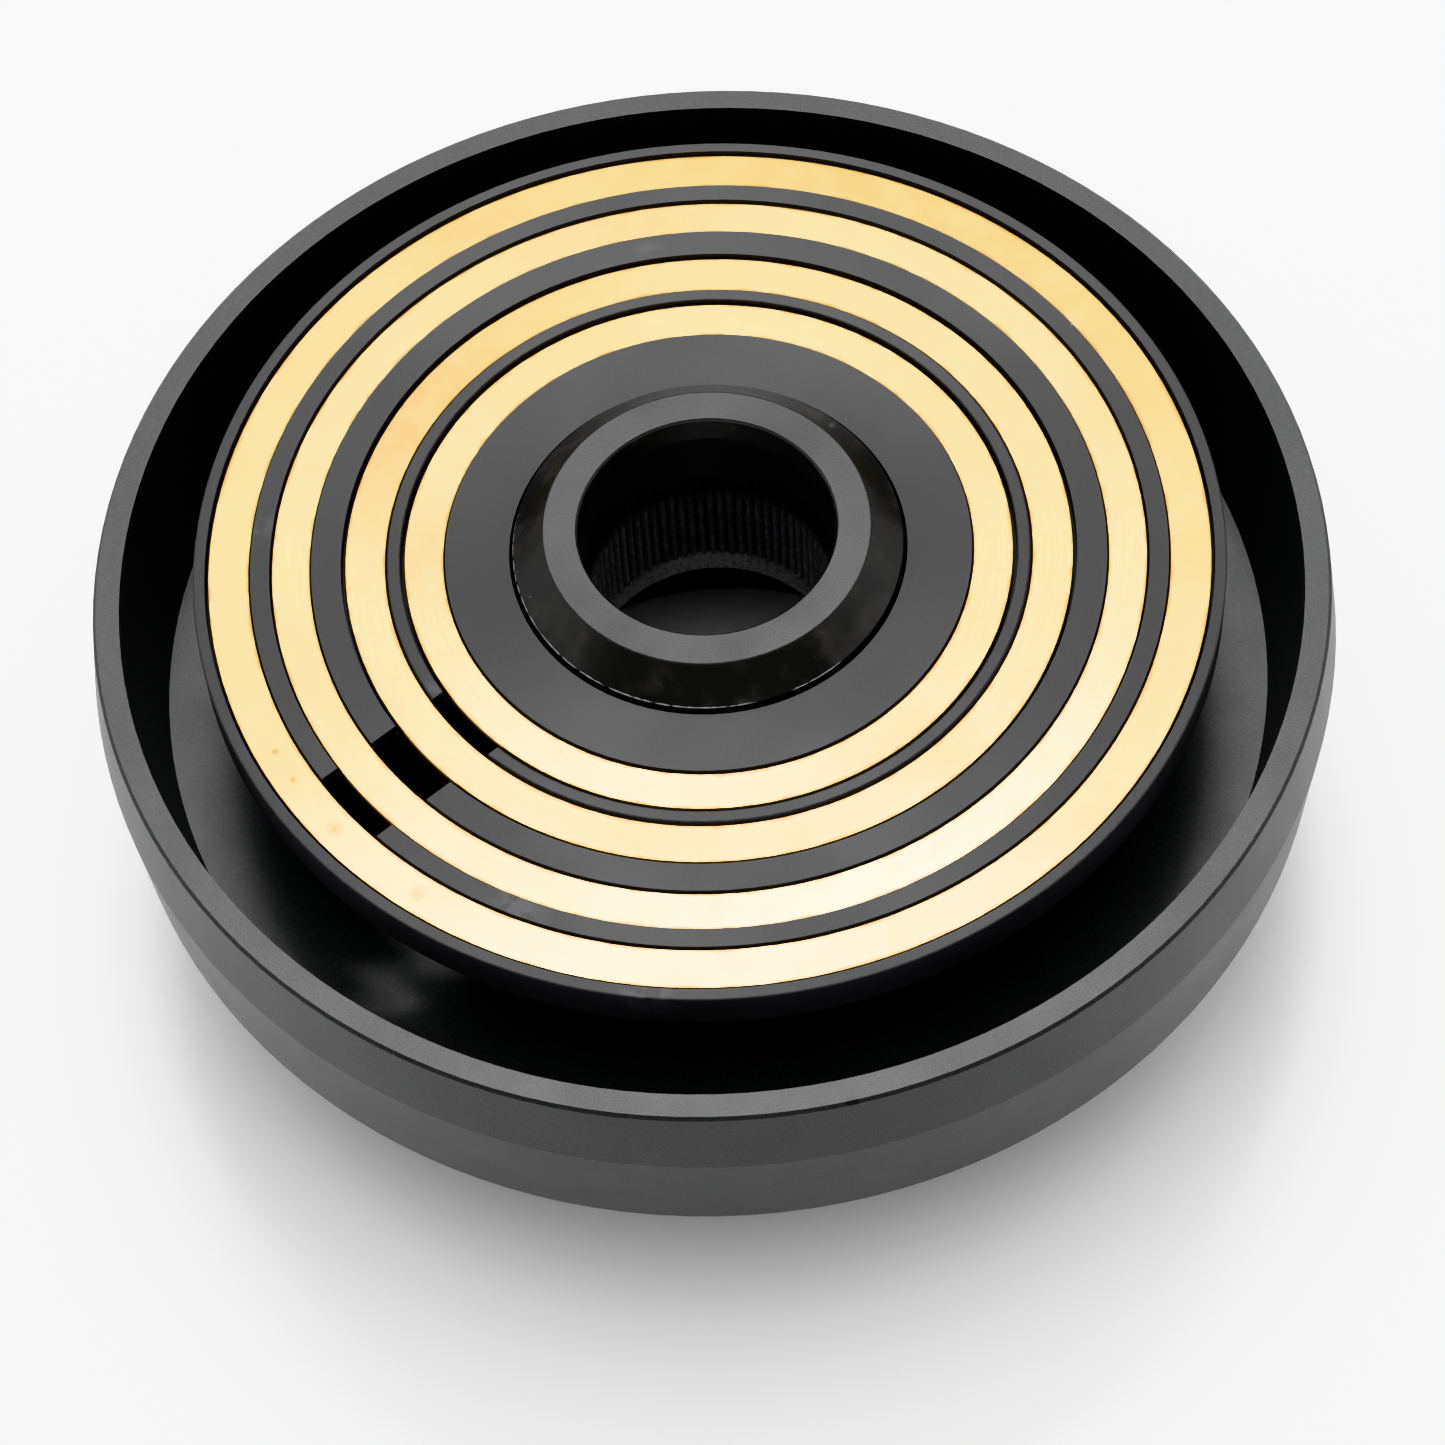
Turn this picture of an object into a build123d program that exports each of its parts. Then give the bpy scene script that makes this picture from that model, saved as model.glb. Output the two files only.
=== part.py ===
from build123d import *
from math import cos, pi, radians, sin
import os

# Steering wheel hub adapter with four horn contact tracks.
# Millimetres. +Z is the steering axis, pointing to the steering column.
# The origin is the centre of the wheel face, the face that the adapter stands on.

# ---- Angles about the axis, degrees ----
LEAD_ANGLE = -142.9                      # the lead window and the lead hole
SCREW_ANGLE = LEAD_ANGLE + 30            # ribs and cup screws
BOSS_ANGLE = LEAD_ANGLE + 100            # carrier screws and their bosses
STUD_ANGLE = LEAD_ANGLE + 60             # the studs under the contact rings
WHEEL_BOLT_ANGLE = 90.0

# ---- Hub core, radii and heights ----
WHEEL_FLANGE_RADIUS = 40.0
WHEEL_FLANGE_TOP = 9.0
NECK_RADIUS = 31.0
NECK_FILLET = 1.5
SHOULDER_RADIUS = 36.5
SHOULDER_BOTTOM = 18.5
SHOULDER_TOP = 23.5                      # the cup's floor sits on this face
REGISTER_RADIUS = 27.2                   # centres the cup
NOSE_RADIUS = 18.2
NOSE_SHOULDER = 47.15                    # where the nose's chamfer starts
NOSE_TOP = 50.0
NOSE_TOP_RADIUS = 15.2
NOSE_FILLET = 0.2                        # where the chamfer starts
NOSE_TOP_FILLET = 0.12
PILOT_RADIUS = 12.0                      # the smooth bore that takes the shaft
PILOT_BOTTOM = 40.45
EDGE_BREAK = 0.2
FLANGE_CHAMFER = 0.6

# ---- Wheel side of the hub core ----
NUT_RECESS_RADIUS = 26.5
NUT_RECESS_TOP = 17.0
NUT_SEAT_RADIUS = 19.0
NUT_SEAT_TOP = 22.5
WHEEL_BOLT_CIRCLE = 70.0
WHEEL_BOLT_COUNT = 6
INSERT_RADIUS = 3.2
INSERT_BORE = 2.1                        # minor radius of an M5 thread

# ---- Serrated sleeve and what holds it ----
SLEEVE_RADIUS = 15.5
SLEEVE_BOTTOM = 24.9
SERRATION_BOTTOM = 28.3
SERRATION_TIP = 11.55                    # the roots are in line with the pilot bore
SERRATION_COUNT = 80
RELIEF_RADIUS = 12.1                     # the smooth bore below the serrations
KEY_PIN_RADIUS = 1.5
KEY_PIN_TOP = 33.0
KEY_PIN_COUNT = 3
CIRCLIP_THICKNESS = 1.2
CIRCLIP_INNER = 14.3
CIRCLIP_OUTER = 16.2
CIRCLIP_EAR_RADIUS = 1.5
CIRCLIP_GAP_ANGLE = 34.0
CIRCLIP_HOLE = 0.7

# ---- Shroud cup ----
CUP_EDGE_RADIUS = 58.0                   # at the lower edge and at the rim
CUP_BELT_RADIUS = 58.9                   # the widest line of the outer wall
CUP_BELT_HEIGHT = 35.6
RIM_TOP = 43.0
RIM_INNER_RADIUS = 55.5
RIM_CHAMFER = 0.3
CUP_FLOOR_THICKNESS = 3.5
CUP_FLOOR_TOP = SHOULDER_TOP + CUP_FLOOR_THICKNESS
CUP_FLOOR_RADIUS = 53.0
CUP_LOWER_CHAMFER = 0.5

# ---- Screws and dowels that hold the cup ----
CUP_SCREW_CIRCLE = 31.8                  # radius
CUP_SCREW_COUNT = 6
CUP_SCREW_RADIUS = 2.0
CUP_SCREW_HEAD = 3.8
CUP_SCREW_BOTTOM = 18.8
CUP_SCREW_SOCKET = 1.44                  # corner radius of the 2.5 mm hexagon
DOWEL_RADIUS = 1.5
DOWEL_BOTTOM = 19.5
DOWEL_TOP = 26.5

# ---- Ring carrier ----
CARRIER_RADIUS = 48.1
CARRIER_BORE = 18.55
CARRIER_TOP = 46.62
CARRIER_EDGE = 0.2
PLATE_BOTTOM = 42.2
PLATE_CHAMFER = 0.3
BARREL_RADIUS = 37.2                     # the ring wall that stands on the cup's floor
BARREL_THICKNESS = 2.0
INNER_SLEEVE_THICKNESS = 2.35
RIB_THICKNESS = 1.6
RIB_BOTTOM = 33.0
RIB_COUNT = 6
WINDOW_WIDTH = 8.0
WINDOW_START = 25.6
WINDOW_END = 46.2

# ---- Contact rings, numbered from the outside in ----
RING_OUTER = [46.75, 40.8, 33.95, 28.4]
RING_INNER = [42.85, 37.15, 30.1, 24.65]
OUTER_GAP = [0.25, 0.15, 0.32, 0.32]      # groove wall to the ring's outer edge
NARROW_RIDGE_FILLET = 0.18              # the ridge between the third and the fourth ring
INNER_GAP = 0.1
RING_TOP = 46.25
RING_THICKNESS = 1.25
RING_EDGE = 0.1

# ---- Studs and solder terminals under the rings ----
STUD_RADIUS = 0.8
STUD_HEAD_RADIUS = 1.4
STUD_HEAD_HEIGHT = 0.8
STUD_COUNT = 3
TERMINAL_WIDTH = 4.0
TERMINAL_THICKNESS = 0.8
TERMINAL_LENGTH = 7.5
TERMINAL_HOLE = 0.75
TERMINAL_HOLE_RISE = 2.2

# ---- Screws that hold the carrier ----
BOSS_CIRCLE = 40.0                       # radius
BOSS_COUNT = 3
BOSS_RADIUS = 3.2
CARRIER_SCREW_RADIUS = 1.5
CARRIER_SCREW_HEAD = 2.9
CARRIER_SCREW_TOP = 33.5
CARRIER_SCREW_SOCKET = 1.15              # corner radius of the 2 mm hexagon
SOCKET_DEPTH = 1.4

# ---- Insulating sheet and lead grommet ----
SHEET_INNER = 27.6
SHEET_OUTER = 35.0
SHEET_THICKNESS = 0.4
LEAD_HOLE_CIRCLE = 24.0                  # radius
LEAD_HOLE_RADIUS = 2.2
GROMMET_BORE = 1.5
GROMMET_FLANGE_TOP = 2.7
GROMMET_FLANGE_BOTTOM = 2.4
GROMMET_FLANGE_THICKNESS = 0.9

# ---- Clearances ----
HOLE_CLEARANCE = 0.03                    # radial, pins and shanks in their holes
PILOT_CLEARANCE = 0.05                   # radial, turned parts that slide together

# ---- Worked out from the above ----
RING_BOTTOM = RING_TOP - RING_THICKNESS
BARREL_INNER = BARREL_RADIUS - BARREL_THICKNESS
INNER_SLEEVE_RADIUS = CARRIER_BORE + INNER_SLEEVE_THICKNESS
KEY_CIRCLE = SLEEVE_RADIUS
CIRCLIP_TOP = SLEEVE_BOTTOM - HOLE_CLEARANCE
CIRCLIP_BOTTOM = CIRCLIP_TOP - CIRCLIP_THICKNESS
COUNTERSINK_ANGLE = 90
LEAD_PLANE = Plane.XY.rotated((0, 0, LEAD_ANGLE))      # its X axis runs through the window
UP_ONLY = (Align.CENTER, Align.CENTER, Align.MIN)


def on_circle(radius, angle, height=0.0):
    """The point at this radius, angle in degrees and height."""
    return (radius * cos(radians(angle)), radius * sin(radians(angle)), height)


def angles(count, start):
    """Evenly spaced angles about the axis, in degrees."""
    return [start + 360 / count * index for index in range(count)]


def save(part, name):
    """Label one finished piece and write it to its own file."""
    part.label = name
    export_step(part, f"parts/{name}.step")


os.makedirs("parts", exist_ok=True)


# ---- Hub core: wheel flange, neck, shoulder and nose, turned from one bar ----
with BuildPart() as hub_core:
    with BuildSketch(Plane.XZ):
        with BuildLine():
            Polyline(
                (NUT_RECESS_RADIUS, 0),
                (WHEEL_FLANGE_RADIUS, 0),
                (WHEEL_FLANGE_RADIUS, WHEEL_FLANGE_TOP),
                (NECK_RADIUS, WHEEL_FLANGE_TOP),
                (NECK_RADIUS, SHOULDER_BOTTOM),
                (SHOULDER_RADIUS, SHOULDER_BOTTOM),
                (SHOULDER_RADIUS, SHOULDER_TOP),
                (REGISTER_RADIUS, SHOULDER_TOP),
                (REGISTER_RADIUS, CUP_FLOOR_TOP),
                (NOSE_RADIUS, CUP_FLOOR_TOP),
                (NOSE_RADIUS, NOSE_SHOULDER),
                (NOSE_TOP_RADIUS, NOSE_TOP),
                (PILOT_RADIUS + EDGE_BREAK, NOSE_TOP),
                (PILOT_RADIUS, NOSE_TOP - EDGE_BREAK),
                (PILOT_RADIUS, PILOT_BOTTOM),
                (SLEEVE_RADIUS, PILOT_BOTTOM),
                (SLEEVE_RADIUS, NUT_SEAT_TOP),
                (NUT_SEAT_RADIUS, NUT_SEAT_TOP),
                (NUT_SEAT_RADIUS, NUT_RECESS_TOP),
                (NUT_RECESS_RADIUS, NUT_RECESS_TOP),
                close=True,
            )
        make_face()
    revolve(axis=Axis.Z)
    neck_corners = [
        edge
        for edge in hub_core.edges().filter_by(GeomType.CIRCLE)
        if abs(edge.radius - NECK_RADIUS) < 0.01
    ]
    fillet(neck_corners, radius=NECK_FILLET)
    flange_corners = [
        edge
        for edge in hub_core.edges().filter_by(GeomType.CIRCLE)
        if abs(edge.radius - WHEEL_FLANGE_RADIUS) < 0.01
    ]
    chamfer(flange_corners, length=FLANGE_CHAMFER)
    for radius, height, rounding in (
        (NOSE_RADIUS, NOSE_SHOULDER, NOSE_FILLET),
        (NOSE_TOP_RADIUS, NOSE_TOP, NOSE_TOP_FILLET),
    ):
        nose_corner = [
            edge
            for edge in hub_core.edges().filter_by(GeomType.CIRCLE)
            if abs(edge.radius - radius) < 0.01 and abs(edge.center().Z - height) < 0.01
        ]
        fillet(nose_corner, radius=rounding)
    # Groove of the retaining ring.
    with BuildSketch(Plane.XY.offset(CIRCLIP_BOTTOM - HOLE_CLEARANCE)):
        Circle(CIRCLIP_OUTER + HOLE_CLEARANCE)
    extrude(amount=CIRCLIP_THICKNESS + 2 * HOLE_CLEARANCE, mode=Mode.SUBTRACT)
    # Holes for the wheel's thread inserts, right through the flange.
    with BuildSketch(Plane.XY):
        with PolarLocations(WHEEL_BOLT_CIRCLE / 2, WHEEL_BOLT_COUNT, start_angle=WHEEL_BOLT_ANGLE):
            Circle(INSERT_RADIUS + HOLE_CLEARANCE)
    extrude(amount=WHEEL_FLANGE_TOP, mode=Mode.SUBTRACT)
    # Holes for the cup's screws and dowels in the shoulder.
    with BuildSketch(Plane.XY.offset(SHOULDER_TOP)):
        with PolarLocations(CUP_SCREW_CIRCLE, CUP_SCREW_COUNT, start_angle=SCREW_ANGLE):
            Circle(CUP_SCREW_RADIUS + HOLE_CLEARANCE)
    extrude(amount=SHOULDER_BOTTOM - SHOULDER_TOP, mode=Mode.SUBTRACT)
    with BuildSketch(Plane.XY.offset(SHOULDER_TOP)):
        with PolarLocations(CUP_SCREW_CIRCLE, 2, start_angle=LEAD_ANGLE):
            Circle(DOWEL_RADIUS + HOLE_CLEARANCE)
    extrude(amount=DOWEL_BOTTOM - SHOULDER_TOP, mode=Mode.SUBTRACT)
    # Half-round seats of the key pins, and the lead hole through the web.
    with BuildSketch(Plane.XY.offset(NUT_SEAT_TOP)):
        with PolarLocations(KEY_CIRCLE, KEY_PIN_COUNT, start_angle=STUD_ANGLE):
            Circle(KEY_PIN_RADIUS + HOLE_CLEARANCE)
    extrude(amount=KEY_PIN_TOP + HOLE_CLEARANCE - NUT_SEAT_TOP, mode=Mode.SUBTRACT)
    with Locations(Location(on_circle(LEAD_HOLE_CIRCLE, LEAD_ANGLE, NUT_RECESS_TOP), (180, 0, 0))):
        CounterBoreHole(
            radius=LEAD_HOLE_RADIUS,
            counter_bore_radius=GROMMET_FLANGE_BOTTOM + HOLE_CLEARANCE,
            counter_bore_depth=GROMMET_FLANGE_THICKNESS,
            depth=CUP_FLOOR_TOP - NUT_RECESS_TOP,
        )
save(hub_core.part, "hub_core")


# ---- Steel thread inserts in the wheel flange ----
with BuildPart() as wheel_thread_inserts:
    with BuildSketch(Plane.XY):
        with PolarLocations(WHEEL_BOLT_CIRCLE / 2, WHEEL_BOLT_COUNT, start_angle=WHEEL_BOLT_ANGLE):
            Circle(INSERT_RADIUS)
            Circle(INSERT_BORE, mode=Mode.SUBTRACT)
    extrude(amount=WHEEL_FLANGE_TOP)
save(wheel_thread_inserts.part, "wheel_thread_inserts")


# ---- Serrated sleeve that grips the steering shaft ----
half_pitch = pi / SERRATION_COUNT
tooth_points = []
for step in range(2 * SERRATION_COUNT):
    tooth_radius = SERRATION_TIP if step % 2 else PILOT_RADIUS
    tooth_points.append((tooth_radius * cos(step * half_pitch), tooth_radius * sin(step * half_pitch)))

with BuildPart() as spline_sleeve:
    with BuildSketch(Plane.XY.offset(SLEEVE_BOTTOM)):
        Circle(SLEEVE_RADIUS - HOLE_CLEARANCE)
    extrude(amount=PILOT_BOTTOM - SLEEVE_BOTTOM)
    with BuildSketch(Plane.XY.offset(SLEEVE_BOTTOM)):
        with BuildLine():
            Polyline(*tooth_points, close=True)
        make_face()
    extrude(amount=PILOT_BOTTOM - SLEEVE_BOTTOM, mode=Mode.SUBTRACT)
    # Smooth relief at the wheel end, and a short lead-in at the column end.
    with BuildSketch(Plane.XZ):
        with BuildLine():
            Polyline(
                (0, SLEEVE_BOTTOM),
                (RELIEF_RADIUS + EDGE_BREAK, SLEEVE_BOTTOM),
                (RELIEF_RADIUS, SLEEVE_BOTTOM + EDGE_BREAK),
                (RELIEF_RADIUS, SERRATION_BOTTOM),
                (0, SERRATION_BOTTOM),
                close=True,
            )
        make_face()
        with BuildLine():
            Polyline(
                (0, PILOT_BOTTOM),
                (PILOT_RADIUS, PILOT_BOTTOM),
                (SERRATION_TIP, PILOT_BOTTOM - PILOT_RADIUS + SERRATION_TIP),
                (0, PILOT_BOTTOM - PILOT_RADIUS + SERRATION_TIP),
                close=True,
            )
        make_face()
    revolve(axis=Axis.Z, mode=Mode.SUBTRACT)
    with BuildSketch(Plane.XY.offset(SLEEVE_BOTTOM)):
        with PolarLocations(KEY_CIRCLE, KEY_PIN_COUNT, start_angle=STUD_ANGLE):
            Circle(KEY_PIN_RADIUS + HOLE_CLEARANCE)
    extrude(amount=KEY_PIN_TOP + HOLE_CLEARANCE - SLEEVE_BOTTOM, mode=Mode.SUBTRACT)
save(spline_sleeve.part, "spline_sleeve")


# ---- Pins that key the sleeve to the hub ----
with BuildPart() as sleeve_key_pins:
    with BuildSketch(Plane.XY.offset(SLEEVE_BOTTOM)):
        with PolarLocations(KEY_CIRCLE, KEY_PIN_COUNT, start_angle=STUD_ANGLE):
            Circle(KEY_PIN_RADIUS)
    extrude(amount=KEY_PIN_TOP - SLEEVE_BOTTOM)
save(sleeve_key_pins.part, "sleeve_key_pins")


# ---- Internal retaining ring under the sleeve, with its two plier ears ----
with BuildPart() as sleeve_circlip:
    with BuildSketch(Plane.XY.offset(CIRCLIP_BOTTOM)):
        Circle(CIRCLIP_OUTER)
        Circle(CIRCLIP_INNER, mode=Mode.SUBTRACT)
        ear_half_angle = CIRCLIP_GAP_ANGLE / 2
        with BuildLine():
            Polyline(
                (0, 0),
                on_circle(2 * CIRCLIP_OUTER, -90 - ear_half_angle)[:2],
                on_circle(2 * CIRCLIP_OUTER, -90 + ear_half_angle)[:2],
                close=True,
            )
        make_face(mode=Mode.SUBTRACT)
        for side in (-1, 1):
            with Locations(on_circle(CIRCLIP_INNER, -90 + side * (ear_half_angle + 4))[:2]):
                Circle(CIRCLIP_EAR_RADIUS)
                Circle(CIRCLIP_HOLE, mode=Mode.SUBTRACT)
    extrude(amount=CIRCLIP_THICKNESS)
save(sleeve_circlip.part, "sleeve_circlip")


# ---- Shroud cup: a spun dish with a belted outer wall ----
with BuildPart() as shroud_cup:
    with BuildSketch(Plane.XZ):
        with BuildLine():
            Polyline(
                (REGISTER_RADIUS + PILOT_CLEARANCE, SHOULDER_TOP),
                (CUP_EDGE_RADIUS - CUP_LOWER_CHAMFER, SHOULDER_TOP),
                (CUP_EDGE_RADIUS, SHOULDER_TOP + CUP_LOWER_CHAMFER),
                (CUP_BELT_RADIUS, CUP_BELT_HEIGHT),
                (CUP_EDGE_RADIUS, RIM_TOP - RIM_CHAMFER),
                (CUP_EDGE_RADIUS - RIM_CHAMFER, RIM_TOP),
                (RIM_INNER_RADIUS, RIM_TOP),
                (CUP_FLOOR_RADIUS, CUP_FLOOR_TOP),
                (REGISTER_RADIUS + PILOT_CLEARANCE, CUP_FLOOR_TOP),
                close=True,
            )
        make_face()
    revolve(axis=Axis.Z)
    for angle in angles(CUP_SCREW_COUNT, SCREW_ANGLE):
        with Locations(on_circle(CUP_SCREW_CIRCLE, angle, CUP_FLOOR_TOP)):
            CounterSinkHole(
                radius=CUP_SCREW_RADIUS + HOLE_CLEARANCE,
                counter_sink_radius=CUP_SCREW_HEAD + HOLE_CLEARANCE,
                depth=CUP_FLOOR_THICKNESS,
                counter_sink_angle=COUNTERSINK_ANGLE,
            )
    for angle in angles(BOSS_COUNT, BOSS_ANGLE):
        with Locations(Location(on_circle(BOSS_CIRCLE, angle, SHOULDER_TOP), (180, 0, 0))):
            CounterSinkHole(
                radius=CARRIER_SCREW_RADIUS + HOLE_CLEARANCE,
                counter_sink_radius=CARRIER_SCREW_HEAD + HOLE_CLEARANCE,
                depth=CUP_FLOOR_THICKNESS,
                counter_sink_angle=COUNTERSINK_ANGLE,
            )
    with BuildSketch(Plane.XY.offset(SHOULDER_TOP)):
        with PolarLocations(CUP_SCREW_CIRCLE, 2, start_angle=LEAD_ANGLE):
            Circle(DOWEL_RADIUS + HOLE_CLEARANCE)
    extrude(amount=CUP_FLOOR_THICKNESS, mode=Mode.SUBTRACT)
save(shroud_cup.part, "shroud_cup")


# ---- Countersunk screws and dowels that hold the cup to the hub ----
with BuildPart() as cup_screws:
    cup_head_height = CUP_SCREW_HEAD - CUP_SCREW_RADIUS
    with PolarLocations(CUP_SCREW_CIRCLE, CUP_SCREW_COUNT, start_angle=SCREW_ANGLE):
        with Locations((0, 0, CUP_SCREW_BOTTOM)):
            Cylinder(CUP_SCREW_RADIUS, CUP_FLOOR_TOP - CUP_SCREW_BOTTOM, align=UP_ONLY)
        with Locations((0, 0, CUP_FLOOR_TOP - cup_head_height)):
            Cone(CUP_SCREW_RADIUS, CUP_SCREW_HEAD, cup_head_height, align=UP_ONLY)
    with BuildSketch(Plane.XY.offset(CUP_FLOOR_TOP)):
        with PolarLocations(CUP_SCREW_CIRCLE, CUP_SCREW_COUNT, start_angle=SCREW_ANGLE):
            RegularPolygon(radius=CUP_SCREW_SOCKET, side_count=6)
    extrude(amount=-SOCKET_DEPTH, mode=Mode.SUBTRACT)
save(cup_screws.part, "cup_screws")

with BuildPart() as cup_dowels:
    with BuildSketch(Plane.XY.offset(DOWEL_BOTTOM)):
        with PolarLocations(CUP_SCREW_CIRCLE, 2, start_angle=LEAD_ANGLE):
            Circle(DOWEL_RADIUS)
    extrude(amount=DOWEL_TOP - DOWEL_BOTTOM)
save(cup_dowels.part, "cup_dowels")


# ---- Insulating sheet on the cup's floor, under the solder terminals ----
with BuildPart() as insulating_sheet:
    with BuildSketch(Plane.XY.offset(CUP_FLOOR_TOP)):
        Circle(SHEET_OUTER)
        Circle(SHEET_INNER, mode=Mode.SUBTRACT)
    extrude(amount=SHEET_THICKNESS)
save(insulating_sheet.part, "insulating_sheet")


# ---- Ring carrier: a moulded disc with four grooves, which stands on a ring wall ----
with BuildPart() as ring_carrier:
    with BuildSketch(Plane.XZ):
        with BuildLine():
            Polyline(
                (CARRIER_BORE, CUP_FLOOR_TOP),
                (INNER_SLEEVE_RADIUS, CUP_FLOOR_TOP),
                (INNER_SLEEVE_RADIUS, PLATE_BOTTOM),
                (BARREL_INNER, PLATE_BOTTOM),
                (BARREL_INNER, CUP_FLOOR_TOP),
                (BARREL_RADIUS, CUP_FLOOR_TOP),
                (BARREL_RADIUS, PLATE_BOTTOM),
                (CARRIER_RADIUS - PLATE_CHAMFER, PLATE_BOTTOM),
                (CARRIER_RADIUS, PLATE_BOTTOM + PLATE_CHAMFER),
                (CARRIER_RADIUS, CARRIER_TOP),
                (CARRIER_BORE, CARRIER_TOP),
                close=True,
            )
        make_face()
    revolve(axis=Axis.Z)
    outer_edge = ring_carrier.edges().group_by(Axis.Z)[-1].sort_by(SortBy.LENGTH)[-1]
    fillet(outer_edge, radius=CARRIER_EDGE)
    # Ribs inside the ring wall, and the three screw bosses that stand against it.
    rib_length = BARREL_INNER - INNER_SLEEVE_RADIUS + 1
    with BuildSketch(Plane.XY.offset(RIB_BOTTOM)):
        with PolarLocations((BARREL_INNER + INNER_SLEEVE_RADIUS) / 2, RIB_COUNT, start_angle=SCREW_ANGLE):
            Rectangle(rib_length, RIB_THICKNESS)
    extrude(amount=PLATE_BOTTOM - RIB_BOTTOM)
    with BuildSketch(Plane.XY.offset(CUP_FLOOR_TOP)):
        with PolarLocations(BOSS_CIRCLE, BOSS_COUNT, start_angle=BOSS_ANGLE):
            Circle(BOSS_RADIUS)
    extrude(amount=PLATE_BOTTOM - CUP_FLOOR_TOP)
    with BuildSketch(Plane.XY.offset(CUP_FLOOR_TOP)):
        with PolarLocations(BOSS_CIRCLE, BOSS_COUNT, start_angle=BOSS_ANGLE):
            Circle(CARRIER_SCREW_RADIUS + HOLE_CLEARANCE)
    extrude(amount=CARRIER_SCREW_TOP + 0.5 - CUP_FLOOR_TOP, mode=Mode.SUBTRACT)
    # One groove for each ring, and the stud holes under it.
    for outer, inner, gap in zip(RING_OUTER, RING_INNER, OUTER_GAP):
        with BuildSketch(Plane.XY.offset(RING_BOTTOM)):
            Circle(outer + gap)
            Circle(inner - INNER_GAP, mode=Mode.SUBTRACT)
        extrude(amount=CARRIER_TOP - RING_BOTTOM, mode=Mode.SUBTRACT)
        with BuildSketch(Plane.XY.offset(PLATE_BOTTOM)):
            with PolarLocations((outer + inner) / 2, STUD_COUNT, start_angle=STUD_ANGLE):
                Circle(STUD_RADIUS + HOLE_CLEARANCE)
        extrude(amount=RING_BOTTOM - PLATE_BOTTOM, mode=Mode.SUBTRACT)
    narrow_ridge = [
        edge
        for edge in ring_carrier.edges().group_by(Axis.Z)[-1].filter_by(GeomType.CIRCLE)
        if RING_OUTER[3] < edge.radius < RING_INNER[2]
    ]
    fillet(narrow_ridge, radius=NARROW_RIDGE_FILLET)
    # The lead window, which goes on down through the ring wall as a slot for the leads.
    with BuildSketch(LEAD_PLANE.offset(CUP_FLOOR_TOP)):
        with Locations(((WINDOW_START + WINDOW_END) / 2, 0)):
            Rectangle(WINDOW_END - WINDOW_START, WINDOW_WIDTH)
    extrude(amount=CARRIER_TOP - CUP_FLOOR_TOP, mode=Mode.SUBTRACT)
save(ring_carrier.part, "ring_carrier")


# ---- Contact rings with their studs and solder terminals ----
for number, (outer, inner) in enumerate(zip(RING_OUTER, RING_INNER), start=1):
    middle = (outer + inner) / 2

    with BuildPart() as contact_ring:
        with BuildSketch(Plane.XY.offset(RING_BOTTOM)):
            Circle(outer)
            Circle(inner, mode=Mode.SUBTRACT)
        extrude(amount=RING_THICKNESS)
        chamfer(contact_ring.edges().group_by(Axis.Z)[-1], length=RING_EDGE)
    save(contact_ring.part, f"contact_ring_{number}")

    with BuildPart() as ring_studs:
        with PolarLocations(middle, STUD_COUNT, start_angle=STUD_ANGLE):
            with Locations((0, 0, PLATE_BOTTOM - STUD_HEAD_HEIGHT)):
                Cylinder(STUD_HEAD_RADIUS, STUD_HEAD_HEIGHT, align=UP_ONLY)
                Cylinder(STUD_RADIUS, RING_BOTTOM - PLATE_BOTTOM + STUD_HEAD_HEIGHT, align=UP_ONLY)
    save(ring_studs.part, f"ring_{number}_studs")

    with BuildPart() as ring_terminal:
        with BuildSketch(LEAD_PLANE.offset(RING_BOTTOM)):
            with Locations((middle, 0)):
                Rectangle(TERMINAL_THICKNESS, TERMINAL_WIDTH)
        extrude(amount=-TERMINAL_LENGTH)
        hole_height = RING_BOTTOM - TERMINAL_LENGTH + TERMINAL_HOLE_RISE
        outward = Axis((0, 0, 0), on_circle(1, LEAD_ANGLE))
        hole_centre = on_circle(middle, LEAD_ANGLE, hole_height)
        with BuildSketch(Plane(origin=hole_centre, z_dir=outward.direction)):
            Circle(TERMINAL_HOLE)
        extrude(amount=TERMINAL_THICKNESS, both=True, mode=Mode.SUBTRACT)
        lower_corners = ring_terminal.edges().filter_by(outward).group_by(Axis.Z)[0]
        fillet(lower_corners, radius=1.2)
    save(ring_terminal.part, f"ring_{number}_terminal")


# ---- Countersunk screws that hold the carrier, driven from the wheel side ----
with BuildPart() as carrier_screws:
    carrier_head_height = CARRIER_SCREW_HEAD - CARRIER_SCREW_RADIUS
    with PolarLocations(BOSS_CIRCLE, BOSS_COUNT, start_angle=BOSS_ANGLE):
        with Locations((0, 0, SHOULDER_TOP)):
            Cylinder(CARRIER_SCREW_RADIUS, CARRIER_SCREW_TOP - SHOULDER_TOP, align=UP_ONLY)
            Cone(CARRIER_SCREW_HEAD, CARRIER_SCREW_RADIUS, carrier_head_height, align=UP_ONLY)
    with BuildSketch(Plane.XY.offset(SHOULDER_TOP)):
        with PolarLocations(BOSS_CIRCLE, BOSS_COUNT, start_angle=BOSS_ANGLE):
            RegularPolygon(radius=CARRIER_SCREW_SOCKET, side_count=6)
    extrude(amount=SOCKET_DEPTH, mode=Mode.SUBTRACT)
save(carrier_screws.part, "carrier_screws")


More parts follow.
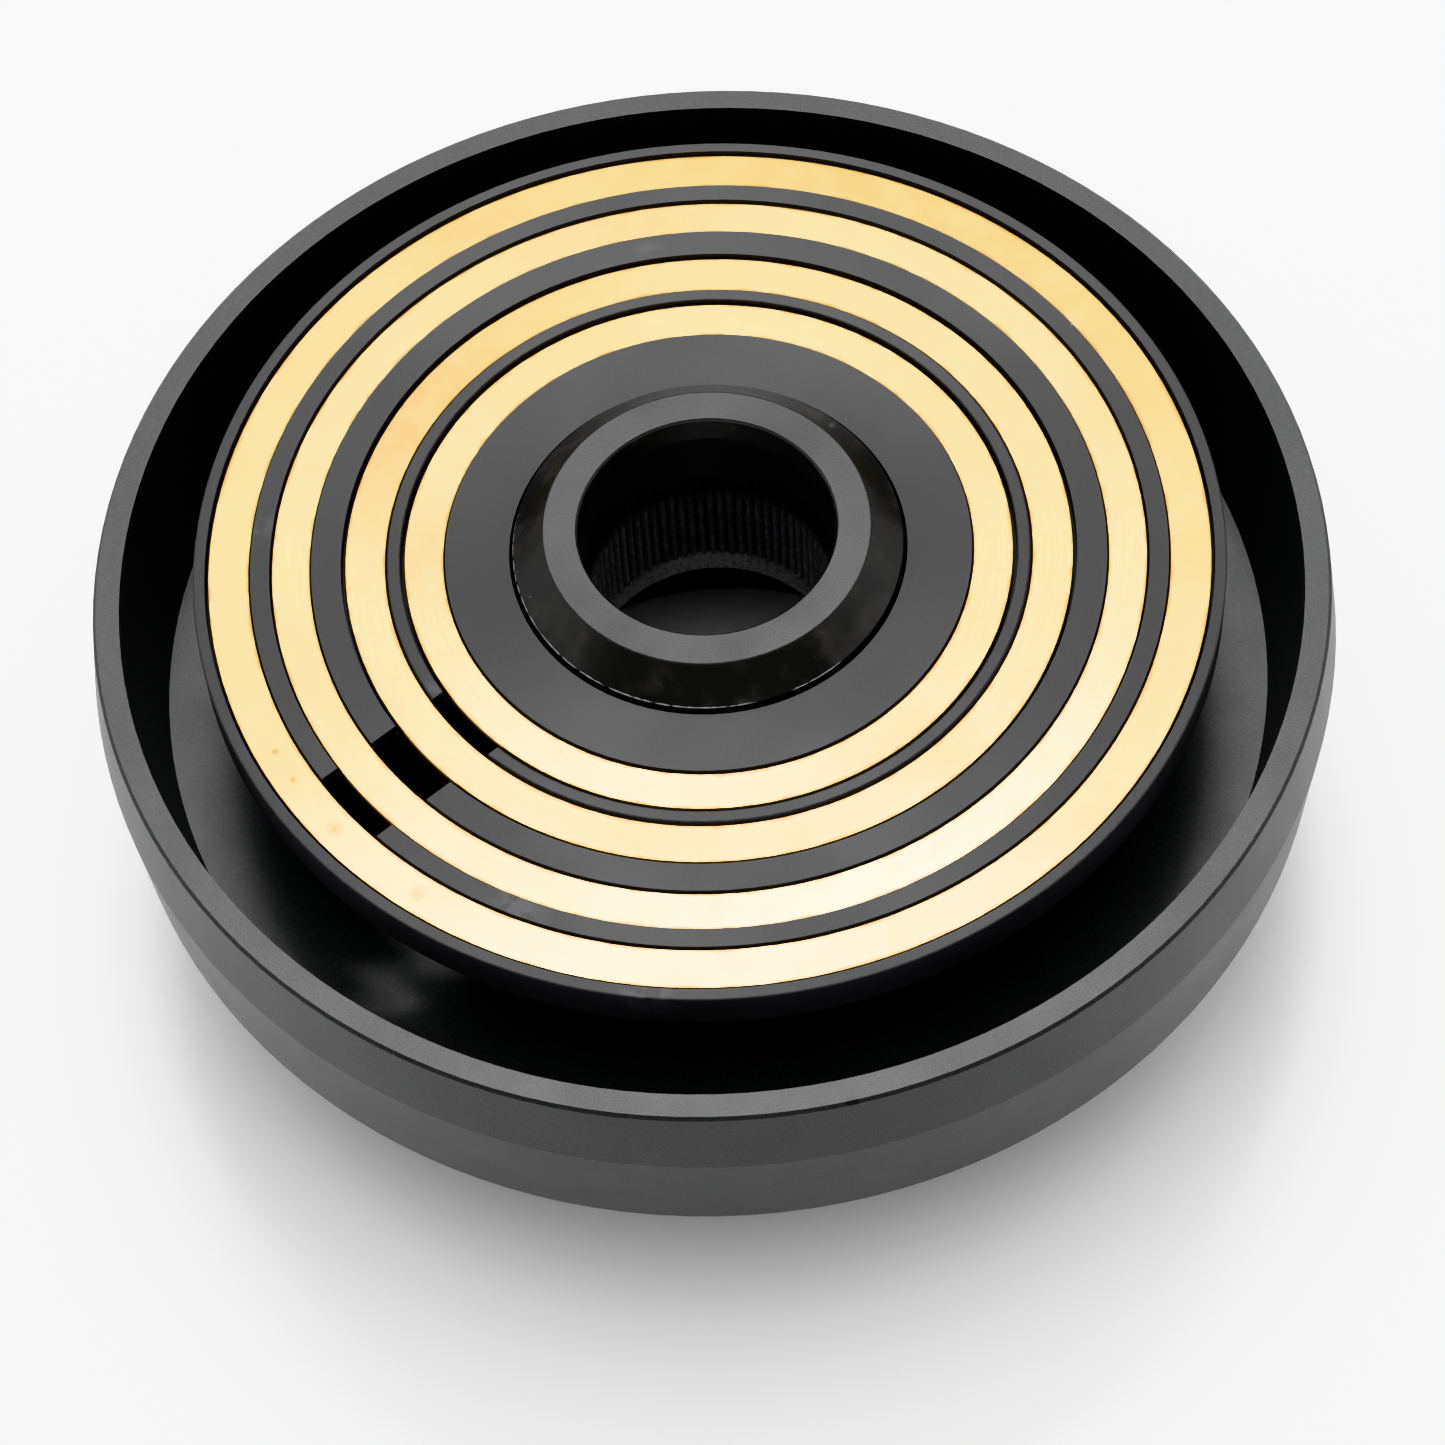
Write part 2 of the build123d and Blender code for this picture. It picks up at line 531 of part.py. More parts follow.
# ---- Rubber grommet in the lead hole ----
with BuildPart() as lead_grommet:
    with Locations(on_circle(LEAD_HOLE_CIRCLE, LEAD_ANGLE, NUT_RECESS_TOP)):
        Cylinder(LEAD_HOLE_RADIUS - HOLE_CLEARANCE, CUP_FLOOR_TOP - NUT_RECESS_TOP, align=UP_ONLY)
    with Locations(on_circle(LEAD_HOLE_CIRCLE, LEAD_ANGLE, CUP_FLOOR_TOP)):
        Cylinder(GROMMET_FLANGE_TOP, GROMMET_FLANGE_THICKNESS, align=UP_ONLY)
    with Locations(on_circle(LEAD_HOLE_CIRCLE, LEAD_ANGLE, NUT_RECESS_TOP)):
        Cylinder(GROMMET_FLANGE_BOTTOM, GROMMET_FLANGE_THICKNESS, align=UP_ONLY)
    with Locations(on_circle(LEAD_HOLE_CIRCLE, LEAD_ANGLE, CUP_FLOOR_TOP + GROMMET_FLANGE_THICKNESS)):
        Hole(GROMMET_BORE)
save(lead_grommet.part, "lead_grommet")
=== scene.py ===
"""Steering wheel hub adapter with four brass horn contact tracks, on a pale table."""

from math import cos, pi, radians, sin

import bpy
from mathutils import Matrix, Vector


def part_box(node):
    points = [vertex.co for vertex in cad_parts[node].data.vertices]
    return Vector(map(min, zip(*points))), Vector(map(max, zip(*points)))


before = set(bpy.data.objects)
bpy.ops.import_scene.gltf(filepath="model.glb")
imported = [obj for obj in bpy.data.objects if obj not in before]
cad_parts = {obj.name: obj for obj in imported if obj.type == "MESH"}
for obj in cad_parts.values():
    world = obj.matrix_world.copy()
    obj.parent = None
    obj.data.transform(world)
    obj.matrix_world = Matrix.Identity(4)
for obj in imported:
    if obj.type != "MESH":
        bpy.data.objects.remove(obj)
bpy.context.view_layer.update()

# ---- The adapter's own heights, read from the frame, in metres ----
RIM_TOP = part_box("shroud_cup")[1].z
NOSE_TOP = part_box("hub_core")[1].z
SLEEVE_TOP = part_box("spline_sleeve")[1].z
TRACK_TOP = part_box("contact_ring_1")[1].z
CARRIER_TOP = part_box("ring_carrier")[1].z

# ---- Places that no box gives, in metres ----
RIM_OUTER = 0.0579
CONE_FOOT = (0.0182, 0.04715)            # radius and height of the lower edge of the nose's cone
FLOOR_HEIGHT = 0.027                     # the cup's floor
TOOTH_TIP = 0.01155                      # radii of the serrations in the sleeve
TOOTH_ROOT = 0.012
TEETH_BOTTOM = 0.0283

# ---- The values that most noise lies between ----
SPREAD = (0.3, 0.7)


# ---- Node helpers ----
class Nodes:
    """A material's node tree, with one short call for each node that is added."""

    LOTTERY_STEP = 0.01                  # how softly a cell with a speck is told from one without
    SPECK_CORE = 0.6                     # the part of a speck that is at full strength

    def __init__(self, name):
        self.material = bpy.data.materials.new(name)
        self.material.use_nodes = True
        self.tree = self.material.node_tree
        self.shader = self.tree.nodes["Principled BSDF"]
        self.where = self.add("ShaderNodeTexCoord").outputs["Object"]
        self.x, self.y, self.height = self.add("ShaderNodeSeparateXYZ", {0: self.where}).outputs
        flat = self.add("ShaderNodeCombineXYZ", {0: self.x, 1: self.y}).outputs[0]
        self.radius = self.length(flat)

    def add(self, kind, inputs=None, **settings):
        node = self.tree.nodes.new(kind)
        for key, value in settings.items():
            setattr(node, key, value)
        for key, value in (inputs or {}).items():
            self.put(node.inputs[key], value)
        return node

    def put(self, socket, value):
        if isinstance(value, bpy.types.NodeSocket):
            self.tree.links.new(value, socket)
        else:
            socket.default_value = value

    def math(self, operation, a, b=0.0):
        return self.add("ShaderNodeMath", {0: a, 1: b}, operation=operation).outputs[0]

    def length(self, vector):
        return self.add("ShaderNodeVectorMath", {0: vector}, operation="LENGTH").outputs["Value"]

    def ramp(self, value, groove_shade, high, from_value=0.0, to_value=1.0):
        """from_value below low, to_value above high, and a smooth step in between."""
        inputs = {"Value": value, "From Min": groove_shade, "From Max": high, "To Min": from_value, "To Max": to_value}
        return self.add("ShaderNodeMapRange", inputs, interpolation_type="SMOOTHSTEP").outputs["Result"]

    def fall(self, value, groove_shade, high):
        """1 below low, 0 above high, and a smooth step in between."""
        return self.ramp(value, groove_shade, high, 1.0, 0.0)

    def mix(self, factor, a, b):
        node = self.add("ShaderNodeMix", data_type="RGBA")
        self.put(node.inputs[0], factor)
        self.put(node.inputs[6], a)
        self.put(node.inputs[7], b)
        return node.outputs[2]

    def tint(self, mask, strength, color, tinted):
        """The colour, changed towards another by strength where the mask is 1."""
        return self.mix(self.math("MULTIPLY", mask, strength), color, tinted)

    def noise(self, scale, detail=2.0, vector=None):
        """Noise with this many features per metre."""
        inputs = {"Vector": vector or self.where, "Scale": scale, "Detail": detail}
        return self.add("ShaderNodeTexNoise", inputs).outputs["Fac"]

    def streaks(self, along, across, detail=2.0):
        """Noise drawn out round the axis: along is per radian, across is per metre."""
        east = self.math("MULTIPLY", self.math("DIVIDE", self.x, self.radius), along)
        north = self.math("MULTIPLY", self.math("DIVIDE", self.y, self.radius), along)
        outward = self.math("MULTIPLY", self.math("ADD", self.radius, self.height), across)
        place = self.add("ShaderNodeCombineXYZ", {0: east, 1: north, 2: outward}).outputs[0]
        return self.noise(1.0, detail, place)

    def specks(self, scale, size, share):
        """1 in small dots, size across as a part of the spacing, in this share of the cells."""
        cells = self.add("ShaderNodeTexVoronoi", {"Vector": self.where, "Scale": scale}, feature="F1")
        lottery = self.add("ShaderNodeSeparateColor", {0: cells.outputs["Color"]}).outputs[0]
        chosen = self.ramp(lottery, 1.0 - share, 1.0 - share + self.LOTTERY_STEP)
        dot = self.fall(cells.outputs["Distance"], self.SPECK_CORE * size, size)
        return self.math("MULTIPLY", chosen, dot)

    def patch(self, angle, radius, height, size):
        """1 in the middle of a soft round patch of this size, 0 outside. The angle is in degrees."""
        middle = (radius * cos(radians(angle)), radius * sin(radians(angle)), height)
        away = self.add("ShaderNodeVectorMath", {0: self.where, 1: middle}, operation="DISTANCE")
        return self.fall(away.outputs["Value"], 0.0, size)

    def edge_distance(self, radius, height):
        """How far a point is from a circular edge of this radius, at this height."""
        out = self.math("SUBTRACT", self.radius, radius)
        rise = self.math("SUBTRACT", self.height, height)
        return self.length(self.add("ShaderNodeCombineXYZ", {0: out, 1: rise}).outputs[0])

    def bump(self, height, distance, under=None):
        inputs = {"Height": height, "Distance": distance}
        if under:
            inputs["Normal"] = under
        return self.add("ShaderNodeBump", inputs).outputs["Normal"]

    def finish(self, color, rough, normal, metal=0.0, ior=1.5, turned=0.0):
        """Fill the shader's sockets. turned is how strongly fine grooves round the axis stretch the gloss."""
        values = {"Base Color": color, "Roughness": rough, "Normal": normal, "Metallic": metal, "IOR": ior}
        if turned:
            values["Tangent"] = self.add("ShaderNodeTangent", direction_type="RADIAL", axis="Z").outputs[0]
            values["Anisotropic"] = turned
            values["Anisotropic Rotation"] = 0.25
        for key, value in values.items():
            self.put(self.shader.inputs[key], value)
        return self.material


def grey(value):
    return (value, value, value, 1.0)


def shade(color, factor):
    return tuple(factor * part for part in color[:3]) + (1.0,)


# ---- Black anodised aluminium ----
ANODISED = (0.0165, 0.0168, 0.0172, 1.0)
CONE_BLACK = (0.0088, 0.0088, 0.0085, 1.0)
HAND_SMUDGE = (0.60, 0.58, 0.52, 1.0)
BARE_METAL = grey(0.42)
NICK_BLACK = grey(0.002)
DUST = grey(0.8)
# the grey of the painted sheen on the cone's far side
CONE_SHEEN_GREY = grey(0.6)
SCUFFED = grey(0.5)
LINT = grey(0.25)
CONE_LINT = grey(0.35)
ETCH_SCALE = 5200.0
ETCH_SHADES = (0.55, 1.5)                # the grain's darkest and palest, as parts of the colour
ETCH_BUMP = 0.000014                     # metres, as every bump here
TURNING_SCALE = 9000.0
TURNING_BUMP = 0.000002
SHEEN_SCALE = 150.0                      # the slow change of gloss over the surface
CUP_ROUGHNESS = (0.385, 0.415)
HUB_ROUGHNESS = (0.36, 0.44)
CONE_GLOSS = 0.24                        # how much smoother the cone is, where it has no smudge
CONE_STARTS = (-0.0004, 0.0002)          # where its look fades in, from the height of its foot
CONE_ENDS = (-0.0002, -0.00005)          # and out, from the nose's top
# Patches are an angle in degrees, a radius, a height and a size.
CUP_DUST = (-126.0, 0.048, FLOOR_HEIGHT, 0.020)
RIM_NICK = (-81.0, RIM_OUTER, RIM_TOP, 0.0010)
# painted sheen: a paler patch on the cone's far side, where it catches grazing light
CONE_PAINTED_SHEEN = (82.0, 0.0168, 0.0486, 0.017)
WORN_FOOT = ((-172.0, 0.010), (-128.0, 0.012), (-100.0, 0.010), (-60.0, 0.004))     # degrees, size
WORN_WIDTH = 0.00022


def anodised_grain(n):
    """The fine etched grain of the metal under the black layer, as colour and as normal."""
    grain = n.noise(ETCH_SCALE, detail=3.0)
    lines = n.streaks(along=5.0, across=TURNING_SCALE)
    color = n.mix(n.ramp(grain, *SPREAD), *[shade(ANODISED, factor) for factor in ETCH_SHADES])
    return color, n.bump(lines, TURNING_BUMP, n.bump(grain, ETCH_BUMP))


def worn_edge(n, edge, places):
    """1 on the thin broken line where the black has come off an edge, near some angles with a size each."""
    near = 0.0
    for angle, size in places:
        near = n.math("MAXIMUM", near, n.patch(angle, *edge, size))
    line = n.fall(n.edge_distance(*edge), 0.0, WORN_WIDTH)
    ragged = n.math("MULTIPLY", n.noise(1500.0, detail=4.0), line)
    return n.math("MULTIPLY", n.ramp(ragged, 0.30, 0.42), n.ramp(near, 0.15, 0.5))


def cup_finish():
    """Even black, with faint dust on the cup's floor and one nick in the rim's outer edge."""
    n = Nodes("anodised_cup")
    color, normal = anodised_grain(n)
    dust = n.math("MULTIPLY", n.patch(*CUP_DUST), n.ramp(n.noise(420.0, detail=4.0), 0.35, 0.7))
    color = n.tint(dust, 0.006, color, DUST)
    color = n.tint(n.specks(scale=150.0, size=0.035, share=0.05), 0.3, color, LINT)
    color = n.mix(n.ramp(n.patch(*RIM_NICK), 0.25, 0.45), color, NICK_BLACK)
    rough = n.ramp(n.noise(SHEEN_SCALE, detail=3.0), *SPREAD, *CUP_ROUGHNESS)
    return n.finish(color, rough, normal, ior=1.50, turned=0.3)


def hub_finish():
    """The nose has been handled: its cone is smooth and smudged, with a painted sheen on its far side, and
    its lower edge is worn.
    """
    n = Nodes("anodised_hub")
    color, normal = anodised_grain(n)
    above_foot = n.ramp(n.height, *[CONE_FOOT[1] + rise for rise in CONE_STARTS])
    below_top = n.fall(n.height, *[NOSE_TOP + rise for rise in CONE_ENDS])
    on_cone = n.math("MULTIPLY", above_foot, below_top)
    smudge = n.math("MULTIPLY", n.ramp(n.noise(260.0, detail=4.0), 0.45, 0.75), on_cone)
    # painted sheen: the cone's far side made paler
    painted_sheen = n.math("MULTIPLY", n.patch(*CONE_PAINTED_SHEEN), on_cone)
    scuff = n.math("MULTIPLY", n.ramp(n.streaks(along=14.0, across=5200.0, detail=3.0), 0.70, 0.78), on_cone)
    lint = n.math("MULTIPLY", n.specks(scale=900.0, size=0.08, share=0.03), on_cone)
    color = n.mix(on_cone, color, CONE_BLACK)
    color = n.tint(smudge, 0.035, color, HAND_SMUDGE)
    color = n.tint(painted_sheen, 0.10, color, CONE_SHEEN_GREY)
    color = n.tint(scuff, 0.10, color, SCUFFED)
    color = n.tint(lint, 0.6, color, CONE_LINT)
    color = n.tint(worn_edge(n, CONE_FOOT, WORN_FOOT), 0.9, color, BARE_METAL)
    plain = n.ramp(n.noise(SHEEN_SCALE, detail=3.0), *SPREAD, *HUB_ROUGHNESS)
    polish = n.math("MULTIPLY", on_cone, n.ramp(smudge, 0.0, 1.0, CONE_GLOSS, 0.0))
    rough = n.math("SUBTRACT", plain, polish)
    return n.finish(color, rough, normal, ior=1.45, turned=0.2)


# ---- Moulded insulator ----
INSULATOR = (0.0198, 0.0195, 0.0207, 1.0)
INSULATOR_SHADES = (0.8, 1.25)           # its clouds' darkest and palest, as parts of the colour
INSULATOR_GRAIN = 0.6                    # and the grain's
SMEAR_PALE = (0.42, 0.40, 0.44, 1.0)
INSULATOR_LINT = grey(0.4)
# the black of the painted shade in the grooves
GROOVE_PAINTED_SHADE = grey(0.003)
INSULATOR_ROUGHNESS = (0.43, 0.50)
GROOVE_DEPTHS = (0.0011, 0.0006)         # under the top: painted shade, black below the first, plain above the second
GROOVES_END = (0.0472, 0.0476)           # radii between which that painted shade fades, outside the grooves
SMEARS = (                               # degrees, radius, size, strength
    (-151.0, 0.0293, 0.0022, 0.08),
    (-117.0, 0.0418, 0.0040, 0.07),
    (172.0, 0.0418, 0.0025, 0.05),
    (-100.0, 0.0476, 0.0040, 0.08),
    (96.0, 0.0355, 0.0022, 0.05),
)


def insulator_finish():
    """Black moulding with a faced top, a few faint smears on it, and painted shade in its grooves."""
    n = Nodes("moulded_insulator")
    grain = n.noise(4200.0)
    cloud = n.noise(70.0, detail=3.0)
    lines = n.streaks(along=3.0, across=7000.0)
    color = n.mix(n.ramp(cloud, *SPREAD), *[shade(INSULATOR, factor) for factor in INSULATOR_SHADES])
    color = n.mix(n.ramp(grain, 0.35, 0.65, to_value=0.35), color, shade(INSULATOR, INSULATOR_GRAIN))
    for angle, radius, size, strength in SMEARS:
        ragged = n.ramp(n.noise(800.0, detail=3.0), 0.4, 0.6)
        smear = n.math("MULTIPLY", n.patch(angle, radius, CARRIER_TOP, size), ragged)
        color = n.tint(smear, strength, color, SMEAR_PALE)
    color = n.tint(n.specks(scale=220.0, size=0.035, share=0.04), 0.4, color, INSULATOR_LINT)
    # painted shade: black in the grooves between the tracks and the ridges, deeper than 0.6 mm under the top
    groove_shade = n.fall(n.height, *[CARRIER_TOP - depth for depth in GROOVE_DEPTHS])
    color = n.tint(groove_shade, n.ramp(n.radius, *GROOVES_END, 0.85, 0.0), color, GROOVE_PAINTED_SHADE)
    normal = n.bump(lines, 0.0000015, n.bump(grain, 0.000005))
    return n.finish(color, n.ramp(cloud, *SPREAD, *INSULATOR_ROUGHNESS), normal, ior=1.49, turned=0.85)


# ---- Brass of the contact tracks ----
BRASS = (0.60, 0.488, 0.222, 1.0)
# pale brass, painted as highlight on the near sides of some tracks
BRASS_PAINTED_HIGHLIGHT = (0.76, 0.69, 0.44, 1.0)
BRASS_DEEP = (0.50, 0.378, 0.135, 1.0)
# dull brass; on the first track's far side it is painted shade
BRASS_DULL_AND_SHADE = (0.34, 0.245, 0.085, 1.0)
BRASS_ORANGE = (0.42, 0.235, 0.055, 1.0)
BRASS_EDGE = (0.24, 0.135, 0.035, 1.0)
BRASS_BROWN = (0.15, 0.075, 0.02, 1.0)
LACQUER = (0.010, 0.007, 0.004, 1.0)     # dark lacquer on the sides and underneath
TONE_WEIGHT = 0.6                        # how much of the yellow is a track's own tone, not its clouds
BRASS_ROUGHNESS = (0.22, 0.28)
LACQUER_ROUGHER = 0.3
LACQUER_DEPTHS = (0.00022, 0.00012)      # under the top: lacquer below the first, brass above the second
TARNISH_REACH = (0.00002, 0.00036)       # from an edge inwards
EDGE_REACH = (0.00002, 0.00010)
TARNISH_WANDER = (0.00010, -0.00016)

# Each patch is an angle in degrees, a size, a strength and a colour. Most are stains; the pale ones are
# painted highlight, and the large dull one on the first track is painted shade.
SPOTS = (
    (-142.0, 0.0011, 0.85, BRASS_BROWN),
    (-128.7, 0.0014, 0.60, BRASS_BROWN),
    (-150.5, 0.0006, 0.90, BRASS_BROWN),
    (-155.0, 0.0006, 0.90, BRASS_BROWN),
)
STAINS_AND_PAINTED_LIGHT_1 = (
    # the pale patch on the near side is painted highlight, and the large dull patch over the far side is
    # painted shade
    (-98.0, 0.045, 0.60, BRASS_PAINTED_HIGHLIGHT),
    (62.0, 0.078, 0.95, BRASS_DULL_AND_SHADE),
    (118.0, 0.012, 0.30, BRASS_ORANGE),
)
STAINS_AND_HIGHLIGHT_2 = (
    # the pale patch on the near side is painted highlight
    (-72.0, 0.050, 1.0, BRASS_PAINTED_HIGHLIGHT),
    (98.0, 0.016, 0.35, BRASS_ORANGE),
    (122.0, 0.012, 0.30, BRASS_DULL_AND_SHADE),
)
STAINS_3 = (
    (146.0, 0.022, 0.75, BRASS_ORANGE),
    (114.0, 0.024, 0.65, BRASS_DULL_AND_SHADE),
)
STAINS_AND_HIGHLIGHT_4 = (
    # the pale patch on the near side is painted highlight
    (-112.0, 0.024, 0.50, BRASS_PAINTED_HIGHLIGHT),
    (178.0, 0.010, 0.40, BRASS_ORANGE),
    (30.0, 0.014, 0.30, BRASS_DULL_AND_SHADE),
)
TRACKS = (                               # width, tone, and stains with patches of painted light, from the outside in
    (0.0039, 0.70, STAINS_AND_PAINTED_LIGHT_1 + SPOTS),
    (0.00365, 0.25, STAINS_AND_HIGHLIGHT_2),
    (0.00385, 0.40, STAINS_3),
    (0.00375, 0.30, STAINS_AND_HIGHLIGHT_4),
)


def track_finish(number, outer, width, tone, stains_and_painted_light):
    """A faced brass track: tarnished orange along both edges, lacquered black below its top.

    tone runs from 0, rubbed bright, to 1, a deeper yellow. The patches given are soft patches of another
    colour: stains, and on some tracks painted highlight and painted shade.
    """
    n = Nodes(f"contact_brass_{number}")
    middle = outer - width / 2
    wide = n.noise(46.0)
    cloud = n.noise(110.0, detail=3.0)
    fine = n.noise(900.0, detail=3.0)
    lines = n.streaks(along=4.0, across=3600.0)
    deepest = TONE_WEIGHT * tone
    color = n.mix(n.ramp(cloud, 0.3, 0.75, deepest, 1.0 - TONE_WEIGHT + deepest), BRASS, BRASS_DEEP)
    color = n.mix(n.ramp(wide, 0.48, 0.66, to_value=0.40), color, BRASS_DULL_AND_SHADE)
    color = n.mix(n.ramp(fine, 0.45, 0.8, to_value=0.3), color, BRASS_DEEP)
    color = n.mix(n.ramp(lines, 0.4, 0.8, to_value=0.14), color, BRASS_DULL_AND_SHADE)
    # soft patches: stains, and painted highlight and painted shade where the list gives them
    for angle, size, strength, patch_color in stains_and_painted_light:
        ragged = n.ramp(n.noise(260.0, detail=3.0), 0.2, 0.6, 0.45, 1.0)
        tinted_patch = n.math("MULTIPLY", n.patch(angle, middle, TRACK_TOP, size), ragged)
        color = n.tint(tinted_patch, strength, color, patch_color)
    from_middle = n.math("ABSOLUTE", n.math("SUBTRACT", n.radius, middle))
    from_edge = n.math("SUBTRACT", width / 2, from_middle)
    uneven = n.streaks(along=14.0, across=300.0, detail=3.0)
    wander = n.math("ADD", from_edge, n.ramp(uneven, *SPREAD, *TARNISH_WANDER))
    color = n.mix(n.ramp(wander, *TARNISH_REACH, 0.85, 0.0), color, BRASS_EDGE)
    color = n.mix(n.ramp(from_edge, *EDGE_REACH, 0.70, 0.0), color, BRASS_BROWN)
    dots = n.math("MULTIPLY", n.specks(scale=520.0, size=0.07, share=0.035), n.ramp(fine, 0.3, 0.5))
    color = n.tint(dots, 0.75, color, BRASS_BROWN)
    below = n.fall(n.height, *[TRACK_TOP - depth for depth in LACQUER_DEPTHS])
    color = n.mix(below, color, LACQUER)
    gloss = n.ramp(cloud, *SPREAD, *BRASS_ROUGHNESS)
    rough = n.math("ADD", gloss, n.math("MULTIPLY", below, LACQUER_ROUGHER))
    normal = n.bump(lines, 0.0000008, n.bump(fine, 0.000003))
    return n.finish(color, rough, normal, metal=n.math("SUBTRACT", 1.0, below), turned=0.35)


# ---- Hidden metal, rubber and fibre ----
BLACK_OXIDE = grey(0.16)
ZINC = (0.55, 0.56, 0.58, 1.0)
AGED_BRASS = (0.035, 0.026, 0.014, 1.0)
PLATING_SHADES = (1.1, 0.7)              # its clouds' palest and darkest, as parts of the colour
PLATING_GRAIN = 0.55                     # and the grain's
PLATING_GLOSS = (-0.05, 0.08)            # how far the roughness goes below and above what is asked
STEEL_ROOT = grey(0.06)
STEEL_TIP = grey(0.30)
STEEL_PLAIN = grey(0.34)                 # the smooth bore below the serrations
STEEL_GRIME = grey(0.10)
# black for the sleeve's upper end
UPPER_END_BLACK = grey(0.004)
STEEL_ROUGHNESS = (0.42, 0.55)
UPPER_END_ROUGHER = 0.2
UPPER_END_DEPTHS = (0.0030, 0.0004)         # under the sleeve's top: none below the first, full above the second
RUBBER_DARK = grey(0.012)
RUBBER_PALE = grey(0.028)
RUBBER_ROUGHNESS = (0.68, 0.8)
FIBRE_DARK = (0.010, 0.008, 0.007, 1.0)
FIBRE_PALE = (0.022, 0.017, 0.014, 1.0)
FIBRE_STAIN = (0.008, 0.007, 0.006, 1.0)
FIBRE_ROUGHNESS = (0.7, 0.85)


def plated_finish(name, color, rough):
    n = Nodes(name)
    grain = n.noise(3000.0)
    cloud = n.noise(500.0, detail=3.0)
    lines = n.streaks(along=8.0, across=6000.0)
    clouded = n.mix(n.ramp(cloud, *SPREAD), *[shade(color, factor) for factor in PLATING_SHADES])
    grained = n.mix(n.ramp(grain, 0.4, 0.7, to_value=0.4), clouded, shade(color, PLATING_GRAIN))
    uneven = n.ramp(cloud, *SPREAD, *[rough + change for change in PLATING_GLOSS])
    return n.finish(grained, uneven, n.bump(lines, 0.000004, n.bump(grain, 0.000006)), metal=1.0)


def sleeve_finish():
    """Serrated steel: the tips of the teeth are rubbed, grease is in the roots, and the sleeve is black
    towards its upper end.
    """
    n = Nodes("serrated_steel")
    grain = n.noise(2400.0, detail=3.0)
    tips = n.fall(n.radius, TOOTH_TIP, TOOTH_ROOT)
    rubbed = n.math("MULTIPLY", tips, n.ramp(n.noise(900.0, detail=3.0), *SPREAD, 0.45, 1.0))
    below_teeth = n.fall(n.height, TEETH_BOTTOM - 0.0002, TEETH_BOTTOM)
    # black and rougher towards the sleeve's upper end
    dark_upper_end = n.ramp(n.height, *[SLEEVE_TOP - depth for depth in UPPER_END_DEPTHS])
    color = n.mix(rubbed, STEEL_ROOT, STEEL_TIP)
    color = n.mix(below_teeth, color, STEEL_PLAIN)
    color = n.mix(n.ramp(grain, 0.4, 0.7, to_value=0.5), color, STEEL_GRIME)
    color = n.mix(dark_upper_end, color, UPPER_END_BLACK)
    plain = n.ramp(grain, *SPREAD, *STEEL_ROUGHNESS)
    rough = n.math("ADD", plain, n.math("MULTIPLY", dark_upper_end, UPPER_END_ROUGHER))
    return n.finish(color, rough, n.bump(grain, 0.000006), metal=0.5)


def rubber_finish():
    n = Nodes("black_rubber")
    grain = n.noise(2500.0, detail=3.0)
    color = n.mix(n.ramp(grain, *SPREAD), RUBBER_DARK, RUBBER_PALE)
    return n.finish(color, n.ramp(grain, *SPREAD, *RUBBER_ROUGHNESS), n.bump(grain, 0.00003))


def fibre_finish():
    """Vulcanised fibre sheet, dark with age, with faint strands."""
    n = Nodes("fibre_sheet")
    strands = n.noise(900.0, detail=5.0)
    color = n.mix(n.ramp(strands, *SPREAD), FIBRE_DARK, FIBRE_PALE)
    color = n.mix(n.ramp(n.noise(120.0, detail=3.0), 0.4, 0.7, to_value=0.5), color, FIBRE_STAIN)
    return n.finish(color, n.ramp(strands, *SPREAD, *FIBRE_ROUGHNESS), n.bump(strands, 0.00002))


# ---- Materials onto the CAD nodes ----
def paint(material, *names):
    """Give the material to CAD nodes, which keep their own shape."""
    for name in names:
        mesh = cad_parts[name].data
        mesh.materials.clear()
        mesh.materials.append(material)


def dress_tracks():
    """Each track has its own brass, and its studs and its terminal are of aged brass."""
    aged = plated_finish("aged_brass", AGED_BRASS, 0.6)
    for number, (width, tone, stains_and_painted_light) in enumerate(TRACKS, start=1):
        track = f"contact_ring_{number}"
        paint(track_finish(number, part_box(track)[1].x, width, tone, stains_and_painted_light), track)
        paint(aged, f"ring_{number}_studs", f"ring_{number}_terminal")


def dress():
    paint(cup_finish(), "shroud_cup")
    paint(hub_finish(), "hub_core")
    paint(insulator_finish(), "ring_carrier")
    dress_tracks()
    paint(plated_finish("black_oxide_steel", BLACK_OXIDE, 0.45), "sleeve_circlip", "carrier_screws")
    paint(sleeve_finish(), "spline_sleeve")
    zinc = plated_finish("zinc_plated_steel", ZINC, 0.33)
    paint(zinc, "sleeve_key_pins", "wheel_thread_inserts", "cup_screws", "cup_dowels")
    paint(rubber_finish(), "lead_grommet")
    paint(fibre_finish(), "insulating_sheet")


# ---- Stage: floor, light and camera ----
TABLE_RADIUS = 3.0
TABLE_COLORS = (grey(0.97), grey(0.94))
TABLE_ROUGHNESS = 0.6
SOFTBOXES = (                            # place along Y and Z, width, depth, radiance
    ("softbox_front", (-0.31, 1.0), 1.0, 0.62, 2.8),
    ("softbox_overhead", (0.175, 1.0), 1.0, 0.35, 2.2),
    ("softbox_main", (0.5, 1.0), 0.65, 0.3, 4.2),
    ("softbox_bright", (0.42, 0.98), 0.38, 0.10, 36.0),
    ("softbox_behind", (0.95, 1.0), 0.75, 0.6, 2.7),
)
ROOM_FRONT = 0.42                        # how bright the room is, in front of the object and behind it
ROOM_SIDE = 1.3                          # and at its two sides, where white panels stand
PANEL_EDGE = (0.7, 0.98)                 # how far to the side a direction has to point for them
CAMERA_ELEVATION = radians(55.85)
CAMERA_ROLL = radians(-4.08)
CAMERA_DISTANCE = 0.4331                 # from the middle of the rim
CAMERA_AIM = (0.00016, -0.01721)         # where it looks, in the rim's plane
